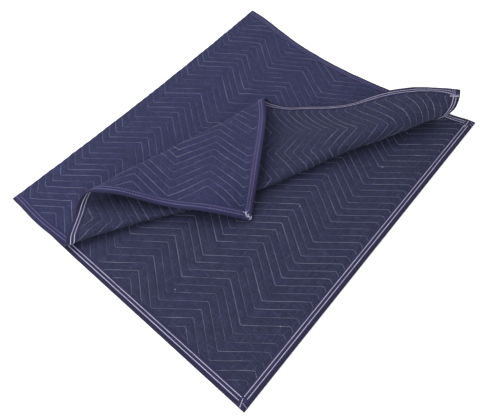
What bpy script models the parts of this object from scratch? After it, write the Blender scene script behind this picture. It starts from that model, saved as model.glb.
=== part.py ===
"""Quilted moving blanket, folded in half, its upper layer turned back with one corner folded forward again.

Metres, Z up. The flat cut is measured across from its left side edge and lengthwise from its lower end edge.
The half fold runs along X at the far side, and the lower layer lies on the ground with its inner face up.
"""
import bpy
import bmesh
import numpy as np
from mathutils import Vector
from mathutils.geometry import delaunay_2d_cdt

# Flat size of the bound blanket
WIDTH = 1.12
LENGTH = 1.84
HALF = LENGTH / 2

# Thickness, as distance from the middle of the padding to each face
QUILT_RIDGE = 0.0025
QUILT_SEAM = 0.0012
EDGE_PRESSED = 0.0012
MIDDLE_HEIGHT = QUILT_RIDGE

# Zigzag quilting lines
PITCH = 0.028
SWING = 0.0781
FIRST_KINK = 0.0334
KINK_STEP = 0.104
FIRST_LINE = 0.0012
LINES_BEFORE = 1
LINES = 45
SMALLEST = 1e-9
NEAR = 0.0005

# Binding tape folded over every edge
TAPE_WIDTH = 0.028
TAPE_WALL = 0.0008
TAPE_OUTSIDE = 0.0025
TAPE_CHAMFER = 0.0012
GAP = 0.0003
PANEL_INSET = 0.0021
MARGIN = 0.029
RELIEF_INSET = 0.041
TAPE_STEP = 0.075
FREE_TAPE_STEP = 0.030
LOOSE_FROM = 1.15
CORNER_KEEP = 0.004

# One row for each fold, in the order the cloth is folded from its free corner inward.
# The line runs from one point of the flat cut to another. Radii and angles are given at its start, middle
# and end, and stay even over the held share at each end. A positive angle turns towards the inner face.
FOLD_COLUMNS = ("name", "start", "end", "radii", "degrees", "held", "facets", "samples")
FOLD_ROWS = (
    ("drooping tip", (0, 1.690), (0.150, 1.84), (0.090, 0.090, 0.090), (33, 33, 33), 0.1, 1, 3),
    ("corner forward", (0, 1.335), (0.505, 1.84), (0.034, 0.0193, 0.021), (183, 180.5, 170), 0.12, 4, 6),
    ("turned back", (0, 1.194), (1.120, 1.778), (0.0162, 0.0101, 0.052), (-187, -177, -192), 0.07, 4, 9),
    ("in half", (0, 0.920), (1.120, 0.920), (0.0075, 0.0065, 0.0075), (180, 180, 180), 0.1, 3, 3),
)
FOLDS = [dict(zip(FOLD_COLUMNS, row)) for row in FOLD_ROWS]

# Where the layers have slid or risen, over ranges of the flat cut: distance across and lengthwise
EDGE_SPREAD = 0.004
EASE_COLUMNS = ("name", "across", "lengthwise", "move")
EASE_ROWS = (
    ("free edge sags", ("plateau", 0.50, 0.62, 0.76, 0.94), ("rise", 1.60, 1.80), (0, 0, -0.022)),
    ("free edge creeps", ("plateau", 0.34, 0.54, 0.74, 0.96), ("rise", 1.54, 1.80), (-0.0316, -0.006, 0)),
    ("upper corner lifts", ("rise", 0.80, 0.98), ("rise", 1.62, 1.80), (0, 0, 0.0105)),
    ("right side slides", ("power", 3), ("rise", 1.52, 1.77), (-0.044, 0.0377, 0)),
    ("roll slides", ("power", 3), ("rise", 1.25, 1.70), (-0.021, -0.0624, -0.0017)),
    ("roll bows", ("bump", 0.45, 0.42), ("rise", 1.10, 1.45), (-0.0108, -0.0303, 0)),
    ("soft swell", ("bump", 0.72, 0.18), ("bump", 1.66, 0.13), (0, 0, 0.012)),
    ("flap sinks", ("fall", 0.03, 0.24), ("bump", 1.60, 0.16), (0, 0, -0.0186)),
    ("flap slides", ("fall", 0.45, 0.70), ("rise", 1.45, 1.75), (-0.0103, -0.0167, 0.001)),
    ("left side bulges", ("fall", 0.0, 0.30), ("bump", 1.06, 0.14), (-0.006, 0, 0)),
    ("half fold settles", ("power", 0), ("bump", 0.92, 0.12), (0, -0.0025, 0)),
    ("far corner tucks", ("rise", 0.80, 1.12), ("bump", 0.92, 0.12), (-0.006, 0, 0)),
    ("left edge spreads", ("fall", 0.0, 0.12), ("fall", 0.60, 0.90), (-EDGE_SPREAD, 0, 0)),
    ("lower end spreads", ("power", 0), ("fall", 0.0, 0.12), (0, -EDGE_SPREAD, 0)),
    ("right edge tucks", ("rise", 0.98, 1.12), ("bump", 0.075, 0.06), (-0.007, 0, 0)),
    ("free edge curls", ("plateau", 0.50, 0.60, 0.78, 0.92), ("rise", 1.815, 1.84), (0, 0, -0.008)),
)
EASES = [dict(zip(EASE_COLUMNS, row)) for row in EASE_ROWS]
EASE_LINES = (1.64, 1.73)

# How far the side and the half fold bow inward as the blanket lies
SIDE_BOW = 0.064
FOLD_BOW = 0.011

# Colours
PANEL_COLOUR = (0.045, 0.047, 0.105, 1)
TAPE_COLOUR = (0.040, 0.034, 0.085, 1)
CLOTH_ROUGHNESS = 0.9


def clear_scene():
    for thing in list(bpy.data.objects):
        bpy.data.objects.remove(thing, do_unlink=True)


def rise(value, low, high):
    share = np.clip((value - low) / (high - low), 0, 1)
    return share * share * (3 - 2 * share)


def bump(value, centre, reach):
    share = np.clip(np.abs(value - centre) / reach, 0, 1)
    return 0.5 + 0.5 * np.cos(np.pi * share)


def weight(value, rule, full):
    """Share of a move at each place, from 0 to 1."""
    kind = rule[0]
    sizes = rule[1:]
    if kind == "rise":
        return rise(value, *sizes)
    if kind == "fall":
        return 1 - rise(value, *sizes)
    if kind == "bump":
        return bump(value, *sizes)
    if kind == "power":
        return np.clip(value / full, 0, 1) ** sizes[0]
    return rise(value, sizes[0], sizes[1]) * (1 - rise(value, sizes[2], sizes[3]))


def along(share, values):
    """Smooth value along a fold line from its start, middle and end values."""
    start, middle, end = values
    return (start * (1 - share) * (1 - 2 * share) + 4 * middle * share * (1 - share)
            + end * share * (2 * share - 1))


def fold_line(fold):
    start = np.array(fold["start"], float)
    end = np.array(fold["end"], float)
    run = np.linalg.norm(end - start)
    lead = (end - start) / run
    away = np.array([-lead[1], lead[0]])
    return start, run, lead, away


def arc_sizes(fold, share):
    share = np.clip(share, fold["held"], 1 - fold["held"])
    radius = along(share, fold["radii"])
    angle = np.radians(np.abs(along(share, fold["degrees"])))
    return radius, angle


def swing(offset, height, angle, side):
    """Turn a point about the fold's axis."""
    cos = np.cos(angle)
    sin = np.sin(angle)
    return offset * cos - height * side * sin, side * offset * sin + height * cos


def turn(points, flat, fold):
    """Bend the sheet round one fold line, in the fold's number of facets."""
    start, run, lead, away = fold_line(fold)
    share = (flat - start) @ lead / run
    radius, angle = arc_sizes(fold, share)
    side = np.sign(fold["degrees"][0])
    reach = (flat - start) @ away + radius * angle / 2
    used = np.clip(reach / radius, 0, angle)
    step = angle / fold["facets"]
    facet = np.minimum(np.floor(used / step), fold["facets"] - 1)
    mix = used / step - facet
    offset = (points[:, :2] - start) @ away - radius * used + radius * angle / 2
    height = points[:, 2] - side * radius
    near = swing(offset, height, facet * step, side)
    far = swing(offset, height, (facet + 1) * step, side)
    offset = near[0] * (1 - mix) + far[0] * mix - radius * angle / 2
    height = near[1] * (1 - mix) + far[1] * mix + side * radius
    lengthwise = (points[:, :2] - start) @ lead
    level = start + lengthwise[:, None] * lead + offset[:, None] * away
    return np.column_stack([level, height])


def ease(points, flat):
    """Slides and rises of the loose layers."""
    moved = points.copy()
    for row in EASES:
        share = weight(flat[:, 0], row["across"], WIDTH) * weight(flat[:, 1], row["lengthwise"], LENGTH)
        moved += share[:, None] * np.array(row["move"])
    return moved


def bow(points):
    """Inward bow of the right side and of the half fold, the same for every layer."""
    across = np.clip((points[:, 0] + WIDTH / 2) / WIDTH, 0, 1.15)
    depth = np.clip((HALF / 2 - points[:, 1]) / HALF, 0, 1) ** 0.85
    moved = points.copy()
    moved[:, 0] -= SIDE_BOW * np.sin(np.pi * depth) ** 1.5 * across ** 3
    far = np.clip((points[:, 1] - 0.1) / 0.36, 0, 1) ** 2
    moved[:, 1] -= FOLD_BOW * np.sin(np.pi * np.clip(across, 0, 1)) * far
    return moved


def fold_sheet(flat, height):
    """Place of flat points at a height above the padding's middle, once the blanket is folded."""
    flat = np.asarray(flat, float)
    points = np.column_stack([flat, np.broadcast_to(height, len(flat))])
    for fold in FOLDS:
        points = turn(points, flat, fold)
    points -= np.array([WIDTH / 2, HALF / 2, -MIDDLE_HEIGHT])
    return bow(ease(points, flat))


def facet_curves(fold):
    """Lines on the flat cut between the facets of a fold."""
    start, run, lead, away = fold_line(fold)
    share = np.linspace(-0.4, 1.4, 361)
    radius, angle = arc_sizes(fold, share)
    curves = []
    for index in range(fold["facets"] + 1):
        offset = radius * angle * (index / fold["facets"] - 0.5)
        curves.append(start + np.outer(share * run, lead) + offset[:, None] * away)
    return curves


def crossing(curve, axis, value):
    """Other coordinate of a curve where one coordinate has a value, or None."""
    low, high = sorted((curve[0, axis], curve[-1, axis]))
    if not low < value < high:
        return None
    order = 1 if curve[-1, axis] > curve[0, axis] else -1
    return float(np.interp(value, curve[::order, axis], curve[::order, 1 - axis]))


def side_place(side, depth, position):
    """Flat point at a depth from an edge and a position along it."""
    if side == "left":
        return (depth, position)
    if side == "right":
        return (WIDTH - depth, position)
    if side == "lower":
        return (position, depth)
    return (position, LENGTH - depth)


def fold_stations(side):
    """Pairs of positions, at the edge and at the margin, where facet lines cross a side."""
    axis = 0 if side in ("left", "right") else 1
    full = (LENGTH, WIDTH)[axis]
    edge = side_place(side, 0, 0)[axis]
    margin = side_place(side, MARGIN, 0)[axis]
    pairs = []
    for fold in FOLDS:
        for curve in facet_curves(fold):
            outer = crossing(curve, axis, edge)
            inner = crossing(curve, axis, margin)
            if outer is None or inner is None:
                continue
            if MARGIN < inner < full - MARGIN:
                low = MARGIN + CORNER_KEEP
                pairs.append((min(max(outer, low), full - low), inner))
    return sorted(pairs)


def stations(side):
    """Cross lines of the tape along one side, no further apart than a step."""
    full = LENGTH if side in ("left", "right") else WIDTH
    first = TAPE_WIDTH + GAP if side in ("left", "right") else 0
    pairs = [(first, first)] + fold_stations(side) + [(full - first, full - first)]
    if side in ("lower", "upper"):
        pairs = pairs[:1] + [(MARGIN, MARGIN)] + pairs[1:-1] + [(full - MARGIN, full - MARGIN)] + pairs[-1:]
    result = [pairs[0]]
    for before, after in zip(pairs, pairs[1:]):
        loose = side == "upper" or (side in ("left", "right") and after[0] > LOOSE_FROM)
        step = FREE_TAPE_STEP if loose else TAPE_STEP
        count = max(1, int(np.ceil(max(after[0] - before[0], after[1] - before[1]) / step)))
        for index in range(1, count + 1):
            share = index / count
            outer = before[0] + (after[0] - before[0]) * share
            inner = before[1] + (after[1] - before[1]) * share
            result.append((outer, inner))
    return result


def station_place(side, pair, depth):
    position = pair[0] + (pair[1] - pair[0]) * depth / MARGIN
    return side_place(side, depth, position)


def zigzag_shift(lengthwise):
    """Sideways shift of a quilting line at a place along the blanket."""
    turns = (np.asarray(lengthwise, float) - FIRST_KINK) / KINK_STEP
    return -SWING * np.abs(turns - 2 * np.round(turns / 2))


def relief(flat):
    """Half thickness of the padding at flat points."""
    across = flat[:, 0] - zigzag_shift(flat[:, 1]) - FIRST_LINE
    full = QUILT_SEAM + (QUILT_RIDGE - QUILT_SEAM) * np.abs(np.sin(np.pi * across / PITCH))
    sides = np.minimum(flat[:, 0], WIDTH - flat[:, 0])
    ends = np.minimum(flat[:, 1], LENGTH - flat[:, 1])
    share = np.clip((np.minimum(sides, ends) - MARGIN) / (RELIEF_INSET - MARGIN), 0, 1)
    return EDGE_PRESSED + (full - EDGE_PRESSED) * share


class FlatMesh:
    """Points and lines of the flat cut that its triangles have to follow."""

    def __init__(self):
        self.points = []
        self.lines = []

    def add_path(self, path):
        first = len(self.points)
        self.points += [Vector(point) for point in path]
        self.lines += [(first + index, first + index + 1) for index in range(len(path) - 1)]

    def triangles(self):
        points, _, faces, _, _, _ = delaunay_2d_cdt(self.points, self.lines, [], 0, NEAR)
        return np.array([tuple(point) for point in points]), [tuple(face) for face in faces]


def clip_to(low, high, start, end):
    """Part of a straight line inside a rectangle, or None."""
    start = np.array(start, float)
    end = np.array(end, float)
    enter = 0.0
    leave = 1.0
    for axis in (0, 1):
        run = end[axis] - start[axis]
        if abs(run) < SMALLEST:
            if not low[axis] <= start[axis] <= high[axis]:
                return None
            continue
        ends = sorted(((low[axis] - start[axis]) / run, (high[axis] - start[axis]) / run))
        enter = max(enter, ends[0])
        leave = min(leave, ends[1])
    if leave - enter < 1e-3:
        return None
    return start + (end - start) * enter, start + (end - start) * leave


def add_quilting(mesh):
    """Seam lines, and the ridge lines half way between them."""
    low = (RELIEF_INSET, RELIEF_INSET)
    high = (WIDTH - RELIEF_INSET, LENGTH - RELIEF_INSET)
    kinks = FIRST_KINK + KINK_STEP * np.arange(0, 18)
    shifts = zigzag_shift(kinks)
    for index in range(-2 * LINES_BEFORE, 2 * LINES):
        across = FIRST_LINE + PITCH * index / 2 + shifts
        for number in range(len(kinks) - 1):
            start = (across[number], kinks[number])
            end = (across[number + 1], kinks[number + 1])
            part = clip_to(low, high, start, end)
            if part is not None:
                mesh.add_path(part)


def add_rectangle(mesh, inset):
    corners = [(inset, inset), (WIDTH - inset, inset), (WIDTH - inset, LENGTH - inset), (inset, LENGTH - inset)]
    mesh.add_path(corners + corners[:1])


def add_margins(mesh):
    """Pressed margin under the tape, cut across at the tape's own cross lines."""
    add_rectangle(mesh, PANEL_INSET)
    add_rectangle(mesh, MARGIN)
    for side in ("left", "right", "lower", "upper"):
        full = LENGTH if side in ("left", "right") else WIDTH
        pairs = [pair for pair in stations(side) if MARGIN < pair[1] < full - MARGIN]
        pairs = [(MARGIN, MARGIN)] + pairs + [(full - MARGIN, full - MARGIN)]
        inner = [station_place(side, pair, MARGIN) for pair in pairs]
        outer = [station_place(side, pair, PANEL_INSET) for pair in pairs]
        for index in range(len(pairs)):
            mesh.add_path([outer[index], inner[index]])
        for index in range(len(pairs) - 1):
            mesh.add_path([outer[index], inner[index + 1]])


def inside_margin(point):
    return MARGIN < point[0] < WIDTH - MARGIN and MARGIN < point[1] < LENGTH - MARGIN


def margin_ends(curve):
    """Points where a facet line meets the margin rectangle."""
    ends = []
    for axis, limits in ((0, (MARGIN, WIDTH - MARGIN)), (1, (MARGIN, LENGTH - MARGIN))):
        other = (LENGTH, WIDTH)[axis]
        for value in limits:
            place = crossing(curve, axis, value)
            if place is not None and MARGIN < place < other - MARGIN:
                ends.append((value, place) if axis == 0 else (place, value))
    return sorted(ends)


def add_facet_lines(mesh):
    for fold in FOLDS:
        for curve in facet_curves(fold):
            ends = margin_ends(curve)
            picked = np.interp(
                np.linspace(ends[0][0], ends[-1][0], fold["samples"])[1:-1], curve[:, 0], np.arange(len(curve)))
            middle = [tuple(curve[int(round(index))]) for index in picked]
            mesh.add_path([ends[0]] + middle + [ends[-1]])


def add_ease_lines(mesh):
    for lengthwise in EASE_LINES:
        mesh.add_path([(MARGIN + 0.012, lengthwise), (WIDTH - RELIEF_INSET, lengthwise)])


def closed_sheet(flat, faces, upper, lower):
    """Closed body between two folded faces of the same flat mesh."""
    count = len(flat)
    verts = np.vstack([upper, lower])
    polygons = list(faces) + [tuple(count + index for index in reversed(face)) for face in faces]
    seen = {}
    for face in faces:
        for start, end in zip(face, face[1:] + face[:1]):
            seen[(start, end)] = True
    for start, end in seen:
        if (end, start) not in seen:
            polygons.append((end, start, count + start, count + end))
    return verts, polygons


def make_object(name, verts, polygons, material):
    data = bpy.data.meshes.new(name)
    data.from_pydata([tuple(vert) for vert in verts], [], polygons)
    shape = bmesh.new()
    shape.from_mesh(data)
    bmesh.ops.triangulate(shape, faces=[face for face in shape.faces if len(face.verts) > 4])
    bmesh.ops.recalc_face_normals(shape, faces=shape.faces)
    shape.to_mesh(data)
    shape.free()
    data.materials.append(material)
    thing = bpy.data.objects.new(name, data)
    bpy.context.scene.collection.objects.link(thing)
    return thing


def make_material(name, colour):
    material = bpy.data.materials.new(name)
    material.use_nodes = True
    shader = material.node_tree.nodes["Principled BSDF"]
    shader.inputs["Base Color"].default_value = colour
    shader.inputs["Roughness"].default_value = CLOTH_ROUGHNESS
    shader.inputs["Metallic"].default_value = 0
    return material


def make_panel(material):
    """Padded body with its zigzag quilting raised on both faces."""
    mesh = FlatMesh()
    add_margins(mesh)
    add_rectangle(mesh, RELIEF_INSET)
    add_quilting(mesh)
    add_facet_lines(mesh)
    add_ease_lines(mesh)
    flat, faces = mesh.triangles()
    half = relief(flat)
    verts, polygons = closed_sheet(flat, faces, fold_sheet(flat, half), fold_sheet(flat, -half))
    return make_object("quilted_panel", verts, polygons, material)


def tape_section():
    """Depth from the edge and height above the middle, round the folded tape."""
    outside = TAPE_OUTSIDE
    inside = TAPE_OUTSIDE - TAPE_WALL
    return (
        (TAPE_WIDTH, outside),
        (TAPE_CHAMFER, outside),
        (0, outside - TAPE_CHAMFER),
        (0, TAPE_CHAMFER - outside),
        (TAPE_CHAMFER, -outside),
        (TAPE_WIDTH, -outside),
        (TAPE_WIDTH, -inside),
        (TAPE_WALL, -inside),
        (TAPE_WALL, inside),
        (TAPE_WIDTH, inside),
    )


def tape_facet(section, first, corner):
    """Two triangles between neighbouring rings, split from the outer edge onward on both walls."""
    size = len(section)
    following = (corner + 1) % size
    here = first + corner
    beside = first + following
    if section[corner] > section[following]:
        return [(here, beside, here + size), (beside, beside + size, here + size)]
    return [(here, beside, beside + size), (here, beside + size, here + size)]


def make_tape(side, name, material):
    """Folded tape swept along one side of the blanket."""
    section = tape_section()
    rings = []
    for pair in stations(side):
        flat = [station_place(side, pair, depth) for depth, height in section]
        rings.append(fold_sheet(flat, [height for depth, height in section]))
    size = len(section)
    polygons = []
    for ring in range(len(rings) - 1):
        for corner in range(size):
            polygons += tape_facet(section, ring * size, corner)
    last = (len(rings) - 1) * size
    for start, order in ((0, 1), (last, -1)):
        for cap in ((0, 1, 8, 9), (1, 2, 3, 4, 7, 8), (4, 5, 6, 7)):
            polygons.append(tuple(start + index for index in cap[::order]))
    return make_object(name, np.vstack(rings), polygons, material)


def centre_on_ground(things):
    """Put the origin at the middle of the underside of the whole blanket."""
    corners = np.vstack([[tuple(vert.co) for vert in thing.data.vertices] for thing in things])
    low = corners.min(axis=0)
    high = corners.max(axis=0)
    shift = Vector((-(low[0] + high[0]) / 2, -(low[1] + high[1]) / 2, -low[2]))
    for thing in things:
        for vert in thing.data.vertices:
            vert.co += shift
        thing.data.update()


def main():
    clear_scene()
    cloth = make_material("navy_quilted_cotton", PANEL_COLOUR)
    tape = make_material("dark_navy_binding", TAPE_COLOUR)
    things = [
        make_panel(cloth),
        make_tape("lower", "binding_lower_end", tape),
        make_tape("upper", "binding_upper_end", tape),
        make_tape("left", "binding_left_side", tape),
        make_tape("right", "binding_right_side", tape),
    ]
    centre_on_ground(things)


main()
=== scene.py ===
"""Looks of a quilted moving blanket: folded in half, upper layer turned back, one corner folded forward.

Metres, Z up. The flat cut is measured across from its left side edge and lengthwise from its lower end edge.
Each piece is laid out on the flat cut and then folded with the cloth.
"""

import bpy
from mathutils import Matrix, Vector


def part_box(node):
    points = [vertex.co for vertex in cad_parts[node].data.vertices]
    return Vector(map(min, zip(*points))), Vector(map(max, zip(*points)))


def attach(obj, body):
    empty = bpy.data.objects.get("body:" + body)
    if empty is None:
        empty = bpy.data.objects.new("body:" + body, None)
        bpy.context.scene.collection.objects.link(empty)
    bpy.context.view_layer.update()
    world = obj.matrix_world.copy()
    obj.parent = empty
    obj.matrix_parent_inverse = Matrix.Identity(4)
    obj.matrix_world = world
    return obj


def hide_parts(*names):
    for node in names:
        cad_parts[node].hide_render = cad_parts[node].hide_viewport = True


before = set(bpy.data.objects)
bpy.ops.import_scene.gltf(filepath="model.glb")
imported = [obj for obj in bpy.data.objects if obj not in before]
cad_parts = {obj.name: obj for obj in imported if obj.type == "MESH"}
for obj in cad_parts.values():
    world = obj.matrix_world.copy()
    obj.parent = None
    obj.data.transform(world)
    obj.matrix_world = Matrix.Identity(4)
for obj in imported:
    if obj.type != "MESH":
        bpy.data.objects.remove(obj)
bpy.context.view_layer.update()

import math

import bpy
import numpy as np
from mathutils import Quaternion, Vector

bl_info = {
    "name": "Quilted moving blanket",
    "version": (1, 0, 0),
    "blender": (4, 5, 0),
    "location": "View3D > Sidebar > Blanket",
    "description": "Cloth, binding, thread and studio of a folded moving blanket",
    "category": "Object",
}

# Flat size of the bound blanket, as in the frame
WIDTH = 1.12
LENGTH = 1.84
HALF = LENGTH / 2
MIDDLE_HEIGHT = 0.0025

# Zigzag quilting. The hook sets the first kink deeper on the left and dies out over two ranges.
SWING = 0.0781
FIRST_KINK = 0.0334
KINK_STEP = 0.104
FIRST_LINE = 0.0012
HOOK = 0.0065
HOOK_ACROSS = (0.45, 0.95)
HOOK_LENGTHWISE = (0.045, 0.12)
RIDGE_ROUNDNESS = 0.8
RIDGE_UNEVENNESS = 0.10

# Grid of the cloth's mesh, finer at the half fold
ROWS_PER_KINK = 10
COLUMNS_PER_LINE = 6
EDGE_CLEAR = 0.003
FINE_ROWS = 4
FINE_ROW_STEP = 0.0035
FINE_ROW_REACH = 0.018
LEAST_AREA = 1e-9
MICROMETRES = 1e6

# Folds, in the order the cloth is folded from its free corner inward. Radii and angles are given at the
# start, middle and end of each line, and stay the same over the held share at both ends. A positive angle
# turns towards the inner face.
FOLD_COLUMNS = ("name", "start", "end", "radii", "degrees", "held")
FOLD_ROWS = (
    ("drooping tip", (0, 1.690), (0.150, 1.84), (0.090, 0.090, 0.090), (33, 33, 33), 0.1),
    ("corner forward", (0, 1.335), (0.505, 1.84), (0.034, 0.0193, 0.021), (183, 180.5, 170), 0.12),
    ("turned back", (0, 1.194), (1.120, 1.778), (0.0162, 0.0101, 0.052), (-187, -177, -192), 0.07),
    ("in half", (0, 0.920), (1.120, 0.920), (0.0075, 0.0065, 0.0075), (180, 180, 180), 0.1),
)
FOLDS = [dict(zip(FOLD_COLUMNS, row)) for row in FOLD_ROWS]

# Slides and rises of the layers, over ranges of the flat cut
EDGE_SPREAD = 0.004
EASE_COLUMNS = ("name", "across", "lengthwise", "move")
EASE_ROWS = (
    ("free edge sags", ("plateau", 0.50, 0.62, 0.76, 0.94), ("rise", 1.60, 1.80), (0, 0, -0.022)),
    ("free edge creeps", ("plateau", 0.34, 0.54, 0.74, 0.96), ("rise", 1.54, 1.80), (-0.0316, -0.006, 0)),
    ("upper corner lifts", ("rise", 0.80, 0.98), ("rise", 1.62, 1.80), (0, 0, 0.0105)),
    ("right side slides", ("power", 3), ("rise", 1.52, 1.77), (-0.044, 0.0377, 0)),
    ("roll slides", ("power", 3), ("rise", 1.25, 1.70), (-0.021, -0.0624, -0.0017)),
    ("roll bows", ("bump", 0.45, 0.42), ("rise", 1.10, 1.45), (-0.0108, -0.0303, 0)),
    ("soft swell", ("bump", 0.72, 0.18), ("bump", 1.66, 0.13), (0, 0, 0.012)),
    ("flap sinks", ("fall", 0.03, 0.24), ("bump", 1.60, 0.16), (0, 0, -0.0186)),
    ("flap slides", ("fall", 0.45, 0.70), ("rise", 1.45, 1.75), (-0.0103, -0.0167, 0.001)),
    ("left side bulges", ("fall", 0.0, 0.30), ("bump", 1.06, 0.14), (-0.006, 0, 0)),
    ("half fold settles", ("power", 0), ("bump", 0.92, 0.12), (0, -0.0025, 0)),
    ("far corner tucks", ("rise", 0.80, 1.12), ("bump", 0.92, 0.12), (-0.006, 0, 0)),
    ("left edge spreads", ("fall", 0.0, 0.12), ("fall", 0.60, 0.90), (-EDGE_SPREAD, 0, 0)),
    ("lower end spreads", ("power", 0), ("fall", 0.0, 0.12), (0, -EDGE_SPREAD, 0)),
    ("right edge tucks", ("rise", 0.98, 1.12), ("bump", 0.075, 0.06), (-0.007, 0, 0)),
    ("free edge curls", ("plateau", 0.50, 0.60, 0.78, 0.92), ("rise", 1.815, 1.84), (0, 0, -0.008)),
)
EASES = [dict(zip(EASE_COLUMNS, row)) for row in EASE_ROWS]

# Bow of the folded blanket: the right side swings in at mid depth, the half fold between its corners
SIDE_BOW = 0.064
SIDE_BOW_LIMIT = 1.15
SIDE_BOW_POWERS = {"depth": 0.85, "rise": 1.5, "across": 3}
FOLD_BOW = 0.011
FOLD_BOW_START = 0.1
FOLD_BOW_REACH = 0.36
FOLD_BOW_POWER = 2

# Uneven ripples: seed, number of waves, shortest and longest wave
BROAD_RIPPLE = (7, 14, 0.05, 0.16)
FINE_RIPPLE = (8, 12, 0.022, 0.045)
PADDING_RIPPLE = (3, 10, 0.03, 0.09)
FINE_SHARE = 0.4

# The lower layer rests on the floor up to this range, where the unevenness is lifted and damped
RESTING_END = (0.93, 0.96)
RESTING_LIFT = 1.2
RESTING_DAMPING = 0.4

# Height of the floor, which presses the stitches of the resting side flat
FLOOR_LEVEL = -0.0004

# Where the frame has put the middle of the folded blanket
CORNER_X, CORNER_Y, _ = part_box("binding_lower_end")[0]
CENTRE_X = CORNER_X + WIDTH / 2 + EDGE_SPREAD
CENTRE_Y = CORNER_Y + HALF / 2 + EDGE_SPREAD

# Main creases on the flat cut: from and to, half width, and height towards the inner face
CREASE_COLUMNS = ("name", "start", "end", "width", "height")
CREASE_ROWS = (
    ("trough beside the half fold", (1.04, 1.095), (0.44, 1.165), 0.028, 0.0050),
    ("ridge beside the trough", (0.86, 1.185), (0.60, 1.215), 0.022, -0.0020),
    ("left trough", (0.17, 0.945), (0.35, 1.135), 0.012, 0.0024),
    ("left ridge", (0.11, 0.960), (0.26, 1.110), 0.016, -0.0014),
    ("trough beside the roll", (0.115, 1.035), (0.010, 1.150), 0.020, 0.0050),
    ("far corner trough", (0.985, 1.010), (1.065, 1.175), 0.015, 0.0030),
    ("far side trough", (0.95, 1.215), (1.075, 1.325), 0.015, 0.0024),
    ("flap trough", (0.150, 1.675), (0.250, 1.775), 0.015, 0.0026),
    ("flap ridge", (0.085, 1.575), (0.235, 1.725), 0.016, -0.0026),
    ("trough beside the flap", (0.515, 1.600), (0.545, 1.820), 0.030, -0.0050),
    ("return swell", (0.62, 1.640), (0.95, 1.700), 0.030, 0.0022),
)
CREASES = [dict(zip(CREASE_COLUMNS, row)) for row in CREASE_ROWS]
CREASE_EVENNESS = 0.75
CREASE_END_SHARE = 0.35
CREASE_WAVES = 9
CREASE_PHASE = 40

# Binding tape over every edge
TAPE_WIDTH = 0.028
TAPE_GAP = 0.0003
TAPE_WALL = 0.0008
TAPE_OUTSIDE = 0.0025
PANEL_INSET = 0.0021
TAPE_STEP = 0.005
RELIEF_START = 0.027
RELIEF_FULL = 0.040
TAPE_DEPTHS = (TAPE_WIDTH, 0.0262, 0.024, 0.0216, 0.019, 0.0165, 0.014, 0.0115, 0.009, 0.006, 0.0032)
TAPE_INSIDE_BEND = 0.015
TAPE_INSIDE_TURN = 0.9
TAPE_FLAT_HEIGHT = 0.002
TURN_RADIUS = 0.0016
TURN_MARGIN = 0.35
TURN_POINTS = 6
TAPE_SIDES = (
    ("lower", "binding_lower_end"),
    ("upper", "binding_upper_end"),
    ("left", "binding_left_side"),
    ("right", "binding_right_side"),
)

# Twin rows of stitching on the tape, how they draw it in, and how it puckers between the stitches
ROW_DEPTHS = (0.0125, 0.0215)
ROW_POINTS = 400
CORNER_CLEAR = 0.026
ROW_DRAW = 0.00045
ROW_DRAW_REACH = 0.0021
PUCKER = 0.00022
PUCKER_STEP = 0.011
PUCKER_SWAY = 3
PUCKER_SWAY_RATE = 23
PUCKER_DEPTH = 0.019
PUCKER_REACH = 0.007
THREAD_SINK = 0.0001

# Short seams at the corners on the flat cut, where the rows were locked: the face, from and to, how bright
SEAM_COLUMNS = ("name", "face", "start", "end", "fade")
SEAM_ROWS = (
    ("near corner seam", 1, (0.022, 0.022), (0.0015, 0.015), 1.0),
    ("near corner dashes", 1, (0.013, 0.016), (0.0106, 0.001), 0.35),
    ("right corner seam", 1, (1.114, 0.020), (1.0815, 0.0175), 1.0),
    ("right corner dashes", 1, (1.104, 0.011), (1.0985, 0.0005), 0.4),
    ("right corner second dashes", 1, (1.113, 0.011), (1.1075, 0.0005), 0.4),
    ("upper corner cross seam", 1, (1.0875, 1.809), (1.118, 1.816), 1.0),
    ("upper corner second cross seam", 1, (1.088, 1.8125), (1.117, 1.8195), 0.8),
    ("upper corner dashes", 1, (1.0975, 1.809), (1.0975, 1.839), 0.45),
    ("upper corner second dashes", 1, (1.1035, 1.809), (1.1035, 1.839), 0.4),
    ("loose corner seam", -1, (0.024, 1.818), (0.0155, 1.8225), 1.0),
    ("loose corner end", -1, (0.0155, 1.8225), (0.0105, 1.832), 1.0),
    ("loose corner tail", -1, (0.0105, 1.832), (0.003, 1.8385), 0.9),
    ("loose corner loop", -1, (0.013, 1.8205), (0.0075, 1.8265), 0.8),
    ("loose corner loop back", -1, (0.0075, 1.8265), (0.0125, 1.8335), 0.7),
    ("loose corner lock", -1, (0.021, 1.8115), (0.0165, 1.824), 1.0),
    ("loose corner cross", -1, (0.026, 1.8235), (0.0135, 1.8195), 0.9),
    ("loose corner twist", -1, (0.0185, 1.830), (0.0085, 1.8275), 0.9),
    ("loose corner stray", -1, (0.0075, 1.8375), (0.0015, 1.8325), 0.8),
    ("loose corner curl", -1, (0.0145, 1.8375), (0.0065, 1.8395), 0.8),
)
SEAMS = [dict(zip(SEAM_COLUMNS, row)) for row in SEAM_ROWS]

# Knotted thread ends on the inner face, on the flat cut
KNOTS = ((0.7126, 1.7053), (0.795, 0.128), (0.526, 0.2365), (0.109, 0.333), (0.209, 0.060))
KNOT_SIZE = 0.0036
KNOT_WIDTH = 0.0012
KNOT_HEADINGS = (0.4, 1.5, 2.5)
KNOT_LEVEL = 0.75

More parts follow.
